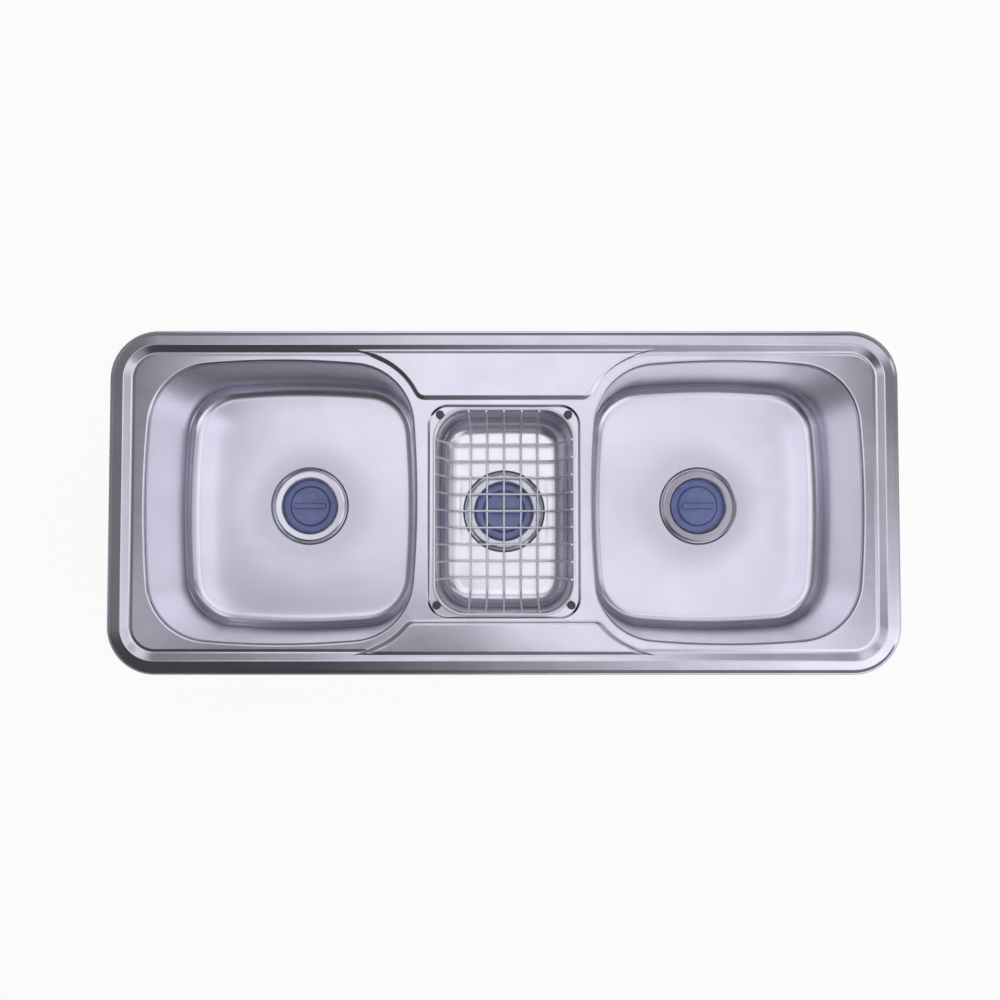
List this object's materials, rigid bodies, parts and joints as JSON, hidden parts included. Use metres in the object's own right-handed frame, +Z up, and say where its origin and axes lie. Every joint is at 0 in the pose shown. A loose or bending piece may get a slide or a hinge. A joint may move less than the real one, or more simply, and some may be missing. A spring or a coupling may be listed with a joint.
{
  "type": "kitchen sink",
  "caption": "Inset pressed stainless steel kitchen sink: large bowls, small middle bowl with a lift-out wire basket, wastes with lift-out plugs, and worktop clips under the rim.",
  "frame": {"origin": "centre of the rim in the plane of the worktop that it rests on", "axes": "+X to the right along the sink's length, +Y to the back, +Z up"},
  "size_m": [1.15, 0.5, 0.2713],
  "materials": {
    "deck_steel": "satin, brushed along the length",
    "bowl_steel": "satin, deep drawn",
    "polished_steel": "polished",
    "wire_steel": "bright polished wire",
    "rail_steel": "dull mill finish",
    "zinc_steel": "zinc plated",
    "blue_plastic": "glossy dark blue",
    "white_plastic": "moulded white",
    "black_rubber": "matt",
    "foot_rubber": "matt dark blue-grey",
    "grey_foam": "closed-cell foam",
    "grey_pad": "matt bitumen pad"
  },
  "bodies": {
    "sink": {"deck": "deck_steel", "left_bowl": "bowl_steel", "right_bowl": "bowl_steel", "centre_bowl": "bowl_steel", "left_strainer": "polished_steel", "left_waste_screw": "polished_steel", "left_outlet_body": "white_plastic", "left_outlet_tail": "white_plastic", "left_flange_gasket": "black_rubber", "left_body_gasket": "black_rubber", "centre_strainer": "polished_steel", "centre_waste_screw": "polished_steel", "centre_outlet_body": "white_plastic", "centre_outlet_tail": "white_plastic", "centre_flange_gasket": "black_rubber", "centre_body_gasket": "black_rubber", "right_strainer": "polished_steel", "right_waste_screw": "polished_steel", "right_outlet_body": "white_plastic", "right_outlet_tail": "white_plastic", "right_flange_gasket": "black_rubber", "right_body_gasket": "black_rubber", "seal_strip": "grey_foam", "rear_rail": "rail_steel", "front_rail": "rail_steel", "left_rail": "rail_steel", "right_rail": "rail_steel", "rail_nuts": "zinc_steel", "left_damping_pad": "grey_pad", "right_damping_pad": "grey_pad"},
    "basket": {"basket_frame": "wire_steel", "basket_long_wires": "wire_steel", "basket_cross_wires": "wire_steel", "basket_feet": "foot_rubber"},
    "left_plug": {"left_plug": "blue_plastic", "left_plug_seal": "black_rubber"},
    "centre_plug": {"centre_plug": "blue_plastic", "centre_plug_seal": "black_rubber"},
    "right_plug": {"right_plug": "blue_plastic", "right_plug_seal": "black_rubber"},
    "rear_left_clip_screw": {"rear_left_clip_screw": "zinc_steel"},
    "rear_left_clip_claw": {"rear_left_clip_claw": "zinc_steel"},
    "rear_middle_clip_screw": {"rear_middle_clip_screw": "zinc_steel"},
    "rear_middle_clip_claw": {"rear_middle_clip_claw": "zinc_steel"},
    "rear_right_clip_screw": {"rear_right_clip_screw": "zinc_steel"},
    "rear_right_clip_claw": {"rear_right_clip_claw": "zinc_steel"},
    "front_left_clip_screw": {"front_left_clip_screw": "zinc_steel"},
    "front_left_clip_claw": {"front_left_clip_claw": "zinc_steel"},
    "front_middle_clip_screw": {"front_middle_clip_screw": "zinc_steel"},
    "front_middle_clip_claw": {"front_middle_clip_claw": "zinc_steel"},
    "front_right_clip_screw": {"front_right_clip_screw": "zinc_steel"},
    "front_right_clip_claw": {"front_right_clip_claw": "zinc_steel"},
    "left_end_clip_screw": {"left_end_clip_screw": "zinc_steel"},
    "left_end_clip_claw": {"left_end_clip_claw": "zinc_steel"},
    "right_end_clip_screw": {"right_end_clip_screw": "zinc_steel"},
    "right_end_clip_claw": {"right_end_clip_claw": "zinc_steel"}
  },
  "joints": [
    {"name": "basket_lift", "type": "slide", "parent": "sink", "child": "basket", "axis": [0, 0, 1], "range_m": [0, 0.11]},
    {"name": "left_plug_lift", "type": "slide", "parent": "sink", "child": "left_plug", "axis": [0, 0, 1], "range_m": [0, 0.22]},
    {"name": "centre_plug_lift", "type": "slide", "parent": "sink", "child": "centre_plug", "axis": [0, 0, 1], "range_m": [0, 0.012]},
    {"name": "right_plug_lift", "type": "slide", "parent": "sink", "child": "right_plug", "axis": [0, 0, 1], "range_m": [0, 0.22]},
    {"name": "rear_left_clip_tighten", "type": "slide", "parent": "sink", "child": "rear_left_clip_screw", "axis": [0, 0, 1], "range_m": [0, 0.012]},
    {"name": "rear_left_clip_swing", "type": "hinge", "parent": "rear_left_clip_screw", "child": "rear_left_clip_claw", "pos_m": [-0.3, 0.226, -0.04], "axis": [0, 0, 1], "range_deg": [0, 90]},
    {"name": "rear_middle_clip_tighten", "type": "slide", "parent": "sink", "child": "rear_middle_clip_screw", "axis": [0, 0, 1], "range_m": [0, 0.012]},
    {"name": "rear_middle_clip_swing", "type": "hinge", "parent": "rear_middle_clip_screw", "child": "rear_middle_clip_claw", "pos_m": [0, 0.226, -0.04], "axis": [0, 0, 1], "range_deg": [0, 90]},
    {"name": "rear_right_clip_tighten", "type": "slide", "parent": "sink", "child": "rear_right_clip_screw", "axis": [0, 0, 1], "range_m": [0, 0.012]},
    {"name": "rear_right_clip_swing", "type": "hinge", "parent": "rear_right_clip_screw", "child": "rear_right_clip_claw", "pos_m": [0.3, 0.226, -0.04], "axis": [0, 0, 1], "range_deg": [0, 90]},
    {"name": "front_left_clip_tighten", "type": "slide", "parent": "sink", "child": "front_left_clip_screw", "axis": [0, 0, 1], "range_m": [0, 0.012]},
    {"name": "front_left_clip_swing", "type": "hinge", "parent": "front_left_clip_screw", "child": "front_left_clip_claw", "pos_m": [-0.3, -0.226, -0.04], "axis": [0, 0, 1], "range_deg": [0, 90]},
    {"name": "front_middle_clip_tighten", "type": "slide", "parent": "sink", "child": "front_middle_clip_screw", "axis": [0, 0, 1], "range_m": [0, 0.012]},
    {"name": "front_middle_clip_swing", "type": "hinge", "parent": "front_middle_clip_screw", "child": "front_middle_clip_claw", "pos_m": [0, -0.226, -0.04], "axis": [0, 0, 1], "range_deg": [0, 90]},
    {"name": "front_right_clip_tighten", "type": "slide", "parent": "sink", "child": "front_right_clip_screw", "axis": [0, 0, 1], "range_m": [0, 0.012]},
    {"name": "front_right_clip_swing", "type": "hinge", "parent": "front_right_clip_screw", "child": "front_right_clip_claw", "pos_m": [0.3, -0.226, -0.04], "axis": [0, 0, 1], "range_deg": [0, 90]},
    {"name": "left_end_clip_tighten", "type": "slide", "parent": "sink", "child": "left_end_clip_screw", "axis": [0, 0, 1], "range_m": [0, 0.012]},
    {"name": "left_end_clip_swing", "type": "hinge", "parent": "left_end_clip_screw", "child": "left_end_clip_claw", "pos_m": [-0.551, 0, -0.04], "axis": [0, 0, 1], "range_deg": [0, 90]},
    {"name": "right_end_clip_tighten", "type": "slide", "parent": "sink", "child": "right_end_clip_screw", "axis": [0, 0, 1], "range_m": [0, 0.012]},
    {"name": "right_end_clip_swing", "type": "hinge", "parent": "right_end_clip_screw", "child": "right_end_clip_claw", "pos_m": [0.551, 0, -0.04], "axis": [0, 0, 1], "range_deg": [0, 90]}
  ]
}
